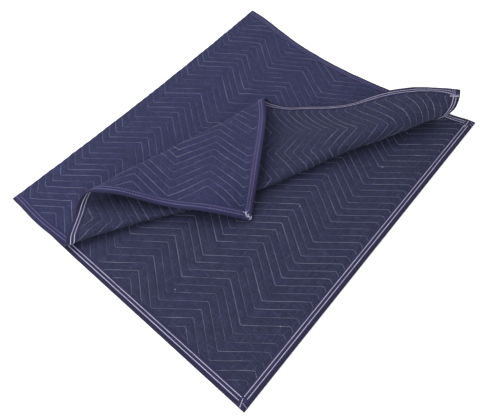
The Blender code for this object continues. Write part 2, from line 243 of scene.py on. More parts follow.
# Rungs of the looper thread between the outer rows: side, from, to, and the distance between rungs
RUNG_COLUMNS = ("side", "start", "end", "step")
RUNG_ROWS = (
    ("upper", 0.026, 1.094, 0.0075),
    ("left", 1.715, 1.812, 0.0105),
    ("left", 0.026, 0.100, 0.0105),
    ("right", 1.700, 1.812, 0.0105),
    ("lower", 0.026, 1.094, 0.0075),
)
RUNGS = [dict(zip(RUNG_COLUMNS, row)) for row in RUNG_ROWS]
RUNG_WIDTH = 0.0013
RUNG_CLEAR = 0.0008
RUNG_LEAN = 0.0006
RUNG_LEVEL = 0.25

# Thread: heights, gaps between stitches, and levels from 0 for drawn in to 1 for bright
QUILT_FACES = (
    (1, "quilting_thread_inner", 0.18, 0.56),
    (-1, "quilting_thread_outer", 0.02, 0.55),
)
QUILT_HEIGHT = 0.0007
QUILT_GAP = 0.0008
QUILT_LEVEL_REACH = 0.20
QUILT_PATH_STEP = 0.001
QUILT_UNDER_TAPE = 0.002
CLIP_STEP = 0.0005
LEAST_RUN = 12
ROW_HEIGHT = 0.0015
ROW_GAP = 0.0002
ROW_LEVELS = (0.82, 1.0)
ROW_LEVEL_REACH = 0.12
LOOPER_HEIGHT = 0.0009
LOOPER_GAP = 0.0038
LOOPER_LEVELS = (0.45, 0.80)
SEAM_STITCH = 0.0042
SEAM_WIDTH = 0.0019
SEAM_HEIGHT = 0.0012
FADE_WAVES = 5
FADE_WAVELENGTHS = (0.05, 0.36)
FADE_JITTER = 0.12

# Weave of the cloth and the tape, and the strip along the tape's folded edge that is darkened as painted
# shade
CLOTH_THREAD = 0.0016
TAPE_THREAD = 0.0009
WEAVE_DEPTH = 0.0004
RUMPLE_DEPTH = 0.0012
EDGE_SHADE_STRIP = (0.0075, 0.0105)

# Studio: floor size, and the place, aim and size of each light
FLOOR_SIZE = 14
KEY_LIGHT = ((-0.5, 1.3, 2.1), (0, 0, 0), 2.0)
FILL_LIGHT = ((-2.2, -0.6, 0.8), (-0.2, 0, 0), 1.5)


def length(name, description, default, most=1.0):
    return bpy.props.FloatProperty(
        name=name, description=description, default=default, min=0, max=most, unit="LENGTH", precision=4)


def spot(name, description, default):
    return bpy.props.FloatVectorProperty(
        name=name, description=description, default=default, size=3, subtype="TRANSLATION", unit="LENGTH")


def colour(name, description, default):
    return bpy.props.FloatVectorProperty(
        name=name, description=description, default=default, size=3, min=0, max=1, subtype="COLOR")


class BlanketSizes(bpy.types.PropertyGroup):
    """Sizes of the quilting and the thread."""
    pitch: length("Line spacing", "Distance across between quilting lines", 0.028)
    ridge: length("Ridge", "Half thickness of the padding between the lines", 0.0025)
    seam: length("Seam", "Half thickness of the padding at a line", 0.0011)
    edge: length("Edge", "Half thickness of the padding under the binding", 0.0011)
    stitch: length("Quilting stitch", "Length of one quilting stitch with its gap", 0.0065)
    thread: length("Quilting thread", "Width of the quilting thread", 0.0009)
    row_stitch: length("Binding stitch", "Length of one binding stitch with its gap", 0.0042)
    row_thread: length("Binding thread", "Width of the binding thread", 0.0021)
    looper_stitch: length("Looper stitch", "Length of one outer binding stitch with its gap", 0.0075)
    looper_thread: length("Looper thread", "Width of the outer binding thread", 0.0020)
    crinkle: length("Crinkle", "Height of the soft unevenness of the cloth", 0.0006)


class BlanketColours(bpy.types.PropertyGroup):
    """Colours of the cloth, the binding and the thread."""
    inner_cloth: colour("Inner cloth", "Face that lies inside the half fold", (0.0300, 0.0318, 0.0735))
    outer_cloth: colour("Outer cloth", "Face that shows on the upper layer", (0.0310, 0.0335, 0.0880))
    inner_tape: colour("Inner binding", "Binding on the inner face", (0.029, 0.026, 0.068))
    outer_tape: colour("Outer binding", "Binding on the outer face", (0.029, 0.028, 0.078))
    quilt_thread: colour("Quilting thread", "Thread of the zigzag lines", (0.66, 0.70, 0.86))
    quilt_faded: colour("Faded quilting thread", "Quilting thread sunk in the cloth", (0.055, 0.060, 0.130))
    row_thread: colour("Row thread", "Thread rows on the inner binding", (0.80, 0.81, 1.0))
    row_faded: colour("Faded row thread", "Row thread that is drawn in", (0.20, 0.20, 0.36))
    looper_thread: colour("Looper thread", "Thread rows on the outer binding", (0.50, 0.48, 0.80))
    looper_faded: colour("Faded looper thread", "Looper thread that is drawn in", (0.07, 0.064, 0.16))


class StudioSettings(bpy.types.PropertyGroup):
    """Camera, floor and lights."""
    camera_place: spot("Camera", "Place of the camera", (CENTRE_X - 0.68182, CENTRE_Y - 0.62939, 1.20166))
    camera_aim: spot("Aim", "Point that the camera looks at", (CENTRE_X - 0.14948, CENTRE_Y - 0.09267, 0))
    camera_roll: bpy.props.FloatProperty(
        name="Roll", description="Turn of the camera about its own line of sight",
        default=math.radians(-5.16975), subtype="ANGLE")
    camera_lens: bpy.props.FloatProperty(
        name="Lens", description="Focal length of the camera", default=36.594, min=1, max=300)
    floor: colour("Floor", "Pale studio floor", (0.92, 0.92, 0.92))
    floor_glow: bpy.props.FloatProperty(
        name="Floor glow", description="Light from under the translucent floor", default=0.45, min=0, max=2)
    sky: bpy.props.FloatProperty(
        name="Surround", description="Strength of the white surround", default=0.67, min=0, max=5)
    key: bpy.props.FloatProperty(
        name="Key light", description="Power of the large soft light",
        default=43, min=0, max=500, subtype="POWER")
    fill: bpy.props.FloatProperty(
        name="Fill light", description="Power of the low light on the left",
        default=18, min=0, max=500, subtype="POWER")


def rise(value, low, high):
    part = np.clip((value - low) / (high - low), 0, 1)
    return part * part * (3 - 2 * part)


def bump(value, centre, reach):
    part = np.clip(np.abs(value - centre) / reach, 0, 1)
    return 0.5 + 0.5 * np.cos(np.pi * part)


def weight(value, rule, full):
    """Share of a move at each place, from 0 to 1."""
    kind = rule[0]
    sizes = rule[1:]
    if kind == "rise":
        return rise(value, *sizes)
    if kind == "fall":
        return 1 - rise(value, *sizes)
    if kind == "bump":
        return bump(value, *sizes)
    if kind == "power":
        return np.clip(value / full, 0, 1) ** sizes[0]
    return rise(value, sizes[0], sizes[1]) * (1 - rise(value, sizes[2], sizes[3]))


def along(part, values):
    """Smooth value along a fold line from its start, middle and end values."""
    start, middle, end = values
    return start * (1 - part) * (1 - 2 * part) + 4 * middle * part * (1 - part) + end * part * (2 * part - 1)


def swing(offset, height, angle, side):
    cos = np.cos(angle)
    sin = np.sin(angle)
    return offset * cos - height * side * sin, side * offset * sin + height * cos


def turn(points, flat, fold):
    """Bend the sheet smoothly round one fold line."""
    start = np.array(fold["start"], float)
    run = np.linalg.norm(np.array(fold["end"]) - start)
    lead = (np.array(fold["end"]) - start) / run
    away = np.array([-lead[1], lead[0]])
    part = np.clip((flat - start) @ lead / run, fold["held"], 1 - fold["held"])
    radius = along(part, fold["radii"])
    angle = np.radians(np.abs(along(part, fold["degrees"])))
    side = np.sign(fold["degrees"][0])
    reach = (flat - start) @ away + radius * angle / 2
    used = np.clip(reach / radius, 0, angle)
    offset = (points[:, :2] - start) @ away - radius * used + radius * angle / 2
    offset, height = swing(offset, points[:, 2] - side * radius, used, side)
    offset -= radius * angle / 2
    height += side * radius
    lengthwise = (points[:, :2] - start) @ lead
    level = start + lengthwise[:, None] * lead + offset[:, None] * away
    return np.column_stack([level, height])


def ease(points, flat):
    """Slide and raise the layers as they lie."""
    moved = points.copy()
    for row in EASES:
        part = weight(flat[:, 0], row["across"], WIDTH) * weight(flat[:, 1], row["lengthwise"], LENGTH)
        moved += part[:, None] * np.array(row["move"])
    return moved


def bow(points):
    """Swing in the right side and the half fold of the folded blanket."""
    powers = SIDE_BOW_POWERS
    across = np.clip((points[:, 0] + WIDTH / 2) / WIDTH, 0, SIDE_BOW_LIMIT)
    depth = np.clip((HALF / 2 - points[:, 1]) / HALF, 0, 1) ** powers["depth"]
    moved = points.copy()
    moved[:, 0] -= SIDE_BOW * np.sin(np.pi * depth) ** powers["rise"] * across ** powers["across"]
    far = np.clip((points[:, 1] - FOLD_BOW_START) / FOLD_BOW_REACH, 0, 1) ** FOLD_BOW_POWER
    moved[:, 1] -= FOLD_BOW * np.sin(np.pi * np.clip(across, 0, 1)) * far
    return moved


def ripple(flat, seed, count, shortest, longest):
    """Smooth uneven value at flat points, mostly between -1 and 1, from a fixed set of waves."""
    picks = np.random.default_rng(seed)
    total = np.zeros(len(flat))
    for _ in range(count):
        heading = picks.uniform(0, np.pi)
        wavelength = picks.uniform(shortest, longest)
        phase = picks.uniform(0, 2 * np.pi)
        path = flat @ np.array([np.cos(heading), np.sin(heading)])
        total += np.sin(2 * np.pi * path / wavelength + phase)
    return total / np.sqrt(count)


def crinkle(flat):
    """Soft unevenness of the whole cloth, upward only where it lies on the ground."""
    size = bpy.context.scene.blanket_sizes.crinkle
    value = ripple(flat, *BROAD_RIPPLE) + FINE_SHARE * ripple(flat, *FINE_RIPPLE)
    resting = 1 - rise(flat[:, 1], *RESTING_END)
    return size * (value + resting * (RESTING_LIFT - value * RESTING_DAMPING))


def creased(flat):
    """Height of the main creases, each a soft trough or ridge that dies out at both ends."""
    total = np.zeros(len(flat))
    for crease in CREASES:
        start = np.array(crease["start"])
        run = np.array(crease["end"]) - start
        part = np.clip((flat - start) @ run / (run @ run), 0, 1)
        away = np.linalg.norm(flat - start - part[:, None] * run, axis=1)
        waves = np.sin(CREASE_WAVES * part + CREASE_PHASE * crease["width"])
        uneven = CREASE_EVENNESS + (1 - CREASE_EVENNESS) * waves
        taper = CREASE_END_SHARE + (1 - CREASE_END_SHARE) * np.sin(np.pi * part)
        total += crease["height"] * taper * uneven * np.exp(-(away / crease["width"]) ** 2)
    return total


def folded(flat, height):
    """Place in the frame of flat points at a height above the padding's middle."""
    flat = np.asarray(flat, float)
    height = np.broadcast_to(height, len(flat)) + crinkle(flat) + creased(flat)
    points = np.column_stack([flat, height])
    for fold in FOLDS:
        points = turn(points, flat, fold)
    points -= np.array([WIDTH / 2, HALF / 2, -MIDDLE_HEIGHT])
    points = bow(ease(points, flat))
    points[:, :2] += np.array([CENTRE_X, CENTRE_Y])
    return points


def zigzag_shift(lengthwise, across):
    """How far a quilting line has swung at each place. Its first kink is a little deeper on the left."""
    lengthwise = np.asarray(lengthwise, float)
    hook = HOOK * (1 - rise(across, *HOOK_ACROSS)) * (1 - rise(lengthwise, *HOOK_LENGTHWISE))
    turns = (lengthwise - hook - FIRST_KINK) / KINK_STEP
    return -SWING * np.abs(turns - 2 * np.round(turns / 2))


def pressed(flat):
    """Share of the full padding, from 0 under the binding to 1 inside it."""
    sides = np.minimum(flat[:, 0], WIDTH - flat[:, 0])
    ends = np.minimum(flat[:, 1], LENGTH - flat[:, 1])
    return np.clip((np.minimum(sides, ends) - RELIEF_START) / (RELIEF_FULL - RELIEF_START), 0, 1)


def puff(flat):
    """Half thickness of the padding at flat points, full between the lines and thin at them."""
    sizes = bpy.context.scene.blanket_sizes
    across = flat[:, 0] - zigzag_shift(flat[:, 1], flat[:, 0]) - FIRST_LINE
    wave = np.abs(np.sin(np.pi * across / sizes.pitch)) ** RIDGE_ROUNDNESS
    uneven = 1 + RIDGE_UNEVENNESS * ripple(flat, *PADDING_RIPPLE)
    full = sizes.seam + (sizes.ridge - sizes.seam) * wave * uneven
    return sizes.edge + (full - sizes.edge) * pressed(flat)


def side_place(side, depth, position):
    """Flat point at a depth from one edge and a position along it."""
    depth, position = np.broadcast_arrays(np.asarray(depth, float), np.asarray(position, float))
    if side == "left":
        return np.column_stack([depth, position])
    if side == "right":
        return np.column_stack([WIDTH - depth, position])
    if side == "lower":
        return np.column_stack([position, depth])
    return np.column_stack([position, LENGTH - depth])


def new_piece(name, points, polygons, materials, picks=None, flat=None):
    """Mesh object with its place in its mesh, smooth, with an optional flat UV map."""
    data = bpy.data.meshes.new(name)
    data.from_pydata(points.tolist(), [], polygons)
    for material in materials:
        data.materials.append(material)
    if picks is not None:
        data.polygons.foreach_set("material_index", np.asarray(picks, np.int32))
    if flat is not None:
        loops = np.empty(len(data.loops), np.int32)
        data.loops.foreach_get("vertex_index", loops)
        data.uv_layers.new(name="flat")
        data.uv_layers["flat"].data.foreach_set("uv", flat[loops].astype(np.float32).ravel())
    data.polygons.foreach_set("use_smooth", np.ones(len(data.polygons), bool))
    data.update()
    piece = bpy.data.objects.new(name, data)
    bpy.context.scene.collection.objects.link(piece)
    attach(piece, "root")
    return piece


def node(tree, kind, links=(), **settings):
    """New shader node with its settings, number sockets set and named sockets linked."""
    made = tree.nodes.new(kind)
    for key, value in settings.items():
        setattr(made, key, value)
    for socket, value in links:
        if isinstance(value, bpy.types.NodeSocket):
            tree.links.new(value, made.inputs[socket])
        else:
            made.inputs[socket].default_value = value
    return made


def new_material(name, base, roughness, sheen=0.0, sheen_tint=(1, 1, 1), sheen_roughness=0.5):
    material = bpy.data.materials.new(name)
    material.use_nodes = True
    shader = material.node_tree.nodes["Principled BSDF"]
    shader.inputs["Base Color"].default_value = (*base, 1)
    shader.inputs["Roughness"].default_value = roughness
    shader.inputs["Specular IOR Level"].default_value = 0.12
    shader.inputs["Sheen Weight"].default_value = sheen
    shader.inputs["Sheen Roughness"].default_value = sheen_roughness
    shader.inputs["Sheen Tint"].default_value = (*sheen_tint, 1)
    return material, material.node_tree, shader


def stretched_noise(tree, place, scales, detail, low, high):
    """Noise from 0 to 1 at its own scale in each direction of the cloth."""
    mapped = node(tree, "ShaderNodeMapping", (("Vector", place), ("Scale", (*scales, 1))))
    noise = node(tree, "ShaderNodeTexNoise",
                 (("Vector", mapped.outputs[0]), ("Scale", 1.0), ("Detail", detail), ("Roughness", 0.55)))
    return node(tree, "ShaderNodeMapRange",
                (("Value", noise.outputs[0]), ("From Min", low), ("From Max", high)), clamp=True).outputs[0]


def mixed(tree, factor, first, second):
    """Colour between two colours or colour sockets."""
    made = node(tree, "ShaderNodeMix", (("Factor", factor),), data_type="RGBA")
    for socket, value in ((made.inputs[6], first), (made.inputs[7], second)):
        if isinstance(value, bpy.types.NodeSocket):
            tree.links.new(value, socket)
        else:
            socket.default_value = (*value, 1)
    return made.outputs[2]


def scaled(base, factor):
    return tuple(min(1.0, part * factor) for part in base)


def weave_bump(tree, place, shader, thread_width, strength):
    """Plain weave and slubs as a fine bump."""
    scale = 2 * math.pi / (20 * thread_width)
    warp = node(tree, "ShaderNodeTexWave", (("Vector", place), ("Scale", scale), ("Distortion", 0.6)),
                bands_direction="X")
    weft = node(tree, "ShaderNodeTexWave", (("Vector", place), ("Scale", scale), ("Distortion", 0.6)),
                bands_direction="Y")
    both = node(tree, "ShaderNodeMath", ((0, warp.outputs["Fac"]), (1, weft.outputs["Fac"])),
                operation="MULTIPLY")
    fine = node(tree, "ShaderNodeBump",
                (("Strength", strength), ("Distance", WEAVE_DEPTH), ("Height", both.outputs[0])))
    rumple = stretched_noise(tree, place, (60, 60), 3.0, 0.3, 0.7)
    soft = node(tree, "ShaderNodeBump",
                (("Strength", 0.25), ("Distance", RUMPLE_DEPTH), ("Height", rumple),
                 ("Normal", fine.outputs[0])))
    tree.links.new(soft.outputs[0], shader.inputs["Normal"])


def cloth_material(name, base):
    """Matt woven shell cloth with faded patches and light slubs."""
    material, tree, shader = new_material(name, base, 0.92, 0.06, (0.75, 0.78, 1.0), 0.5)
    place = node(tree, "ShaderNodeUVMap", uv_map="flat").outputs[0]
    patches = stretched_noise(tree, place, (11, 9), 3.0, 0.36, 0.66)
    mottle = stretched_noise(tree, place, (90, 70), 4.0, 0.38, 0.64)
    lengthwise = stretched_noise(tree, place, (330, 28), 2.0, 0.54, 0.72)
    crosswise = stretched_noise(tree, place, (28, 330), 2.0, 0.54, 0.72)
    flecks = stretched_noise(tree, place, (240, 240), 2.0, 0.40, 0.62)
    grey = (base[0] * 1.16, base[1] * 1.12, base[2] * 0.84)
    tone = mixed(tree, patches, grey, scaled(base, 0.90))
    tone = mixed(tree, mottle, tone, scaled(base, 1.06))
    tone = mixed(tree, flecks, scaled(base, 0.70), tone)
    slub = node(tree, "ShaderNodeMath", ((0, lengthwise), (1, crosswise)), operation="MAXIMUM")
    half = node(tree, "ShaderNodeMath", ((0, slub.outputs[0]), (1, 0.6)), operation="MULTIPLY")
    tone = mixed(tree, half.outputs[0], tone, scaled(base, 2.1))
    tree.links.new(tone, shader.inputs["Base Color"])
    weave_bump(tree, place, shader, CLOTH_THREAD, 0.5)
    return material


def tape_material(name, base):
    """Close woven binding tape, with painted shade along its folded edge."""
    material, tree, shader = new_material(name, base, 0.85, 0.06, (0.75, 0.72, 1.0), 0.5)
    place = node(tree, "ShaderNodeUVMap", uv_map="flat").outputs[0]
    mottle = stretched_noise(tree, place, (55, 55), 4.0, 0.35, 0.65)
    threads = stretched_noise(tree, place, (500, 500), 1.0, 0.35, 0.7)
    tone = mixed(tree, mottle, scaled(base, 0.85), scaled(base, 1.2))
    tone = mixed(tree, threads, tone, scaled(base, 1.35))
    round_edge = node(tree, "ShaderNodeSeparateXYZ", (("Vector", place),)).outputs["Y"]
    from_edge = node(tree, "ShaderNodeMath", ((0, round_edge), (1, TAPE_WIDTH)), operation="SUBTRACT")
    depth = node(tree, "ShaderNodeMath", ((0, from_edge.outputs[0]),), operation="ABSOLUTE")
    # Painted shade: near its folded edge the tape's colour is darkened to 0.8, as where the curling tape
    # turns away from the light
    low, high = EDGE_SHADE_STRIP
    edge_shade = node(tree, "ShaderNodeMapRange",
                (("Value", depth.outputs[0]), ("From Min", low), ("From Max", high)), clamp=True)
    tone = mixed(tree, edge_shade.outputs[0], scaled(base, 0.80), tone)
    tree.links.new(tone, shader.inputs["Base Color"])
    weave_bump(tree, place, shader, TAPE_THREAD, 0.4)
    return material


def thread_material(name, bright, faded):
    """Twisted sewing thread, as bright as each stitch's own fade value says."""
    material, tree, shader = new_material(name, bright, 0.6, 0.05)
    fade = node(tree, "ShaderNodeAttribute", attribute_name="fade").outputs["Fac"]
    place = node(tree, "ShaderNodeTexCoord").outputs["Object"]
    fleck = node(tree, "ShaderNodeTexNoise", (("Vector", place), ("Scale", 260.0), ("Detail", 1.0)))
    level = node(tree, "ShaderNodeMapRange",
                 (("Value", fleck.outputs[0]), ("From Min", 0.3), ("From Max", 0.7), ("To Min", 0.7)),
                 clamp=True)
    part = node(tree, "ShaderNodeMath", ((0, fade), (1, level.outputs[0])), operation="MULTIPLY")
    tone = mixed(tree, part.outputs[0], faded, bright)
    tree.links.new(tone, shader.inputs["Base Color"])
    return material


def run_fade(length_along, seed, low, high, reach):
    """Fade of the stitches along one line: a level of its own, with brighter and sunken stretches."""
    picks = np.random.default_rng(seed)
    own = picks.uniform(low, high)
    total = np.zeros(len(length_along))
    for _ in range(FADE_WAVES):
        wavelength = picks.uniform(*FADE_WAVELENGTHS)
        total += np.sin(2 * np.pi * length_along / wavelength + picks.uniform(0, 2 * np.pi))
    uneven = picks.uniform(-FADE_JITTER, FADE_JITTER, len(length_along))
    return np.clip(own + reach * total / FADE_WAVES ** 0.5 + uneven, 0, 1)


def model_stitch():
    """One stitch, a unit long, wide and high, rounded over and pointed at both ends."""
    bpy.ops.object.select_all(action="DESELECT")
    bpy.ops.mesh.primitive_cylinder_add(vertices=3, radius=0.58, depth=0.6, end_fill_type="TRIFAN",
                                        location=(0, 0, 0.29), rotation=(0, math.pi / 2, 0))
    stitch = bpy.context.object
    bpy.ops.object.transform_apply(location=True, rotation=True, scale=True)
    data = stitch.data
    points = np.array([vert.co for vert in data.vertices])
    tips = np.flatnonzero(np.linalg.norm(points[:, 1:] - np.array([0, 0.29]), axis=1) < 0.1)
    for index in tips:
        data.vertices[int(index)].co.x *= 0.5 / 0.3
        data.vertices[int(index)].co.z = 0.05
    points = np.array([vert.co for vert in data.vertices])
    polygons = np.array([loop for face in data.polygons for loop in triangles_of(face)])
    bpy.data.objects.remove(stitch, do_unlink=True)
    return points, polygons


def triangles_of(face):
    corners = list(face.vertices)
    return [(corners[0], corners[index], corners[index + 1]) for index in range(1, len(corners) - 1)]


def lay_stitches(name, stitch, starts, ends, width, height, lift, face, material, fade=1.0):
    """One mesh of stitches, each laid on the flat cut from a start to an end and folded with the cloth."""
    shape, polygons = stitch
    starts = np.asarray(starts, float)
    ends = np.asarray(ends, float)
    run = ends - starts
    span = np.linalg.norm(run, axis=1, keepdims=True)
    across = np.column_stack([-run[:, 1], run[:, 0]]) / span
    part = shape[:, 0] + 0.5
    flat = starts[:, None, :] + run[:, None, :] * part[None, :, None]
    widths = np.broadcast_to(width, len(starts))
    flat = flat + across[:, None, :] * (shape[:, 1][None, :, None] * widths[:, None, None])
    flat = flat.reshape(-1, 2)
    level = lift(flat) + np.tile(shape[:, 2] * height, len(starts))
    points = folded(flat, face * level)
    points[:, 2] = np.maximum(points[:, 2], FLOOR_LEVEL)
    offsets = np.arange(len(starts)) * len(shape)
    faces = (polygons[None, :, :] + offsets[:, None, None]).reshape(-1, 3)
    if face < 0:
        faces = faces[:, ::-1]
    piece = new_piece(name, points, faces.tolist(), [material])
    values = np.repeat(np.broadcast_to(fade, len(starts)), len(shape)).astype(np.float32)
    piece.data.attributes.new("fade", "FLOAT", "POINT").data.foreach_set("value", values)
    return piece


def spaced_stitches(path, step, gap):
    """Starts and ends of stitches along a flat path, with a gap between them."""
    path = np.asarray(path, float)
    lengths = np.concatenate([[0], np.cumsum(np.linalg.norm(np.diff(path, axis=0), axis=1))])
    count = max(1, int(round(lengths[-1] / step)))
    edges = np.linspace(0, lengths[-1], count + 1)
    starts = edges[:-1] + gap / 2
    ends = edges[1:] - gap / 2

    def at(distance):
        return np.column_stack([np.interp(distance, lengths, path[:, axis]) for axis in (0, 1)])

    return at(starts), at(ends)


def clip_line(path, inset):
    """Runs of a flat path that lie inside the binding."""
    dense = []
    for start, end in zip(path[:-1], path[1:]):
        count = max(2, int(np.ceil(np.linalg.norm(end - start) / CLIP_STEP)))
        dense.append(start + (end - start) * np.linspace(0, 1, count, endpoint=False)[:, None])
    dense.append(path[-1:])
    dense = np.vstack(dense)
    inside = ((dense[:, 0] > inset) & (dense[:, 0] < WIDTH - inset)
              & (dense[:, 1] > inset) & (dense[:, 1] < LENGTH - inset))
    runs = []
    first = None
    for index, good in enumerate(inside):
        if good and first is None:
            first = index
        if not good and first is not None:
            runs.append(dense[first:index])
            first = None
    if first is not None:
        runs.append(dense[first:])
    return [run for run in runs if len(run) > LEAST_RUN]


def quilting_runs():
    """Flat paths of every zigzag quilting line."""
    pitch = bpy.context.scene.blanket_sizes.pitch
    lengthwise = np.arange(0, LENGTH, QUILT_PATH_STEP)
    runs = []
    for index in range(-1, int((WIDTH + SWING) / pitch) + 2):
        base = FIRST_LINE + pitch * index
        path = np.column_stack([base + zigzag_shift(lengthwise, base), lengthwise])
        runs += clip_line(path, TAPE_WIDTH - QUILT_UNDER_TAPE)
    return runs


def cloth_rows():
    """Lengthwise places of the cloth's cross lines, closer together at the half fold."""
    kinks = math.ceil(LENGTH / KINK_STEP)
    rows = FIRST_KINK + KINK_STEP * np.arange(-ROWS_PER_KINK, kinks * ROWS_PER_KINK) / ROWS_PER_KINK
    rows = [row for row in rows if PANEL_INSET + EDGE_CLEAR < row < LENGTH - PANEL_INSET - EDGE_CLEAR]
    close = [HALF + FINE_ROW_STEP * index for index in range(-FINE_ROWS, FINE_ROWS + 1)]
    rows = [row for row in rows if abs(row - HALF) > FINE_ROW_REACH] + close + [FIRST_KINK + HOOK]
    return np.array(sorted([PANEL_INSET] + rows + [LENGTH - PANEL_INSET]))


def tape_section():
    """Depth from the edge and height above the middle round the folded tape, and two of its point counts."""
    outside = TAPE_OUTSIDE
    inside = TAPE_OUTSIDE - TAPE_WALL
    upper = [(depth, outside) for depth in TAPE_DEPTHS]
    turn_over = [(TURN_RADIUS - TURN_RADIUS * math.sin(angle), outside * math.cos(angle))
                 for angle in np.linspace(TURN_MARGIN, math.pi - TURN_MARGIN, TURN_POINTS)]
    lower = [(depth, -height) for depth, height in reversed(upper)]
    back = [(TAPE_WIDTH, -inside), (TAPE_INSIDE_BEND, -inside), (TAPE_WALL, -inside * TAPE_INSIDE_TURN),
            (TAPE_WALL, inside * TAPE_INSIDE_TURN), (TAPE_INSIDE_BEND, inside), (TAPE_WIDTH, inside)]
    return upper + turn_over + lower + back, len(upper), len(turn_over)


def tape_dip(depth, position):
    """How far the tape is drawn in at its stitch rows, and puckered between the stitches."""
    dip = np.zeros(len(depth))
    for row in ROW_DEPTHS:
        dip += ROW_DRAW * np.exp(-((depth - row) / ROW_DRAW_REACH) ** 2)
    sway = PUCKER_SWAY * np.sin(position * PUCKER_SWAY_RATE)
    pucker = PUCKER * np.sin(2 * np.pi * position / PUCKER_STEP + sway)
    return dip + pucker * np.exp(-((depth - PUCKER_DEPTH) / PUCKER_REACH) ** 2)


def tape_level(side):
    """Height of the tape's face above the middle of the padding."""
    def level(flat):
        axis = 0 if side in ("left", "right") else 1
        full = (WIDTH, LENGTH)[axis]
        depth = flat[:, axis] if side in ("left", "lower") else full - flat[:, axis]
        return TAPE_OUTSIDE - tape_dip(depth, flat[:, 1 - axis]) - THREAD_SINK

    return level


def tape_span(side):
    if side in ("left", "right"):
        return TAPE_WIDTH + TAPE_GAP, LENGTH - TAPE_WIDTH - TAPE_GAP
    return 0.0, WIDTH


class BLANKET_OT_make_cloth(bpy.types.Operator):
    """Make the padded cloth with its quilting raised on both faces"""
    bl_idname = "blanket.make_cloth"
    bl_label = "Quilted cloth"

    def execute(self, context):
        sizes = context.scene.blanket_sizes
        colours = context.scene.blanket_colours
        rows = cloth_rows()
        first = FIRST_LINE - sizes.pitch
        count = int((WIDTH + SWING + 2 * sizes.pitch) / sizes.pitch) * COLUMNS_PER_LINE
        columns = first + sizes.pitch / COLUMNS_PER_LINE * np.arange(count)
        across = columns[None, :] + zigzag_shift(rows[:, None], columns[None, :])
        across = np.clip(across, PANEL_INSET, WIDTH - PANEL_INSET)
        lengthwise = np.broadcast_to(rows[:, None], across.shape)
        flat = np.column_stack([across.ravel(), lengthwise.ravel()])
        index = np.arange(len(flat)).reshape(across.shape)
        quads = np.stack([index[:-1, :-1], index[:-1, 1:], index[1:, 1:], index[1:, :-1]], axis=-1)
        quads = quads.reshape(-1, 4)
        flat, polygons = self.drop_collapsed(flat, quads)
        half = puff(flat)
        points = np.vstack([folded(flat, half), folded(flat, -half)])
        size = len(flat)
        faces = polygons + [tuple(size + corner for corner in reversed(face)) for face in polygons]
        picks = [0] * len(polygons) + [1] * len(polygons)
        rim = self.rim(polygons)
        faces += [(end, start, size + start, size + end) for start, end in rim]
        picks += [0] * len(rim)
        materials = [cloth_material("inner_shell_cloth", colours.inner_cloth),
                     cloth_material("outer_shell_cloth", colours.outer_cloth)]
        piece = new_piece("quilted_cloth", points, faces, materials, picks, np.vstack([flat, flat]))
        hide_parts("quilted_panel")
        return {"FINISHED"}

    def drop_collapsed(self, flat, quads):
        """Merge points that were pushed onto the edge together, and keep the faces that have an area."""
        keys = np.round(flat * MICROMETRES).astype(np.int64)
        _, first, back = np.unique(keys, axis=0, return_index=True, return_inverse=True)
        back = back.ravel()
        polygons = []
        for quad in back[quads]:
            corners = []
            for corner in quad:
                if corner not in corners:
                    corners.append(int(corner))
            if len(corners) > 2:
                polygons.append(tuple(corners))
        merged = flat[first]
        polygons = [face for face in polygons if self.area(merged[list(face)]) > LEAST_AREA]
        used = sorted({corner for face in polygons for corner in face})
        renumber = {old: new for new, old in enumerate(used)}
        polygons = [tuple(renumber[corner] for corner in face) for face in polygons]
        return merged[used], polygons

    def area(self, corners):
        following = np.roll(corners, -1, axis=0)
        return 0.5 * np.sum(corners[:, 0] * following[:, 1] - corners[:, 1] * following[:, 0])

    def rim(self, polygons):
        edges = {(start, end) for face in polygons for start, end in zip(face, face[1:] + face[:1])}
        return sorted(edge for edge in edges if (edge[1], edge[0]) not in edges)


class BLANKET_OT_make_binding(bpy.types.Operator):
    """Make the four binding tapes, folded over the edges of the cloth"""
    bl_idname = "blanket.make_binding"
    bl_label = "Binding tapes"

    def execute(self, context):
        colours = context.scene.blanket_colours
        materials = [tape_material("inner_binding", colours.inner_tape),
                     tape_material("outer_binding", colours.outer_tape)]
        for side, cad_node in TAPE_SIDES:
            self.make_tape(side, cad_node, materials)
        return {"FINISHED"}

    def make_tape(self, side, cad_node, materials):
        section, upper, over = tape_section()
        start, end = tape_span(side)
        count = int(round((end - start) / TAPE_STEP))
        places = np.linspace(start, end, count + 1)
        size = len(section)
        depth = np.tile([corner[0] for corner in section], len(places))
        height = np.tile([corner[1] for corner in section], len(places))
        position = np.repeat(places, size)
        number = np.tile(np.arange(size), len(places))
        outer_face = number < 2 * upper + over
        dipped = outer_face * (np.abs(height) > TAPE_FLAT_HEIGHT)
        height = height - np.sign(height) * tape_dip(depth, position) * dipped
        flat = side_place(side, depth, position)
        points = folded(flat, height)
        first = (np.arange(count)[:, None] * size + np.arange(size)[None, :])
        following = np.roll(first, -1, axis=1)
        quads = np.stack([first, following, following + size, first + size], axis=-1).reshape(-1, 4)
        flip = side in ("left", "upper")
        if flip:
            quads = quads[:, ::-1]
        places_round = np.arange(size)
        outer = (places_round >= upper + over // 2) & (places_round < 2 * upper + over + 2)
        picks = np.tile(outer, count)
        faces = quads.tolist()
        last = count * size
        for base, order in ((0, 1), (last, -1)):
            cap = [base + corner for corner in range(size)]
            faces.append(cap[::order] if flip else cap[::-order])
        picks = list(picks.astype(int)) + [0, 0]
        steps = np.linalg.norm(np.diff(np.array(section), axis=0), axis=1)
        around = np.concatenate([[0], np.cumsum(steps)])
        chart = np.column_stack([position, np.tile(around, len(places))])
        name = "tape_" + cad_node[len("binding_"):]
        piece = new_piece(name, points, faces, materials, picks, chart)
        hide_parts(cad_node)


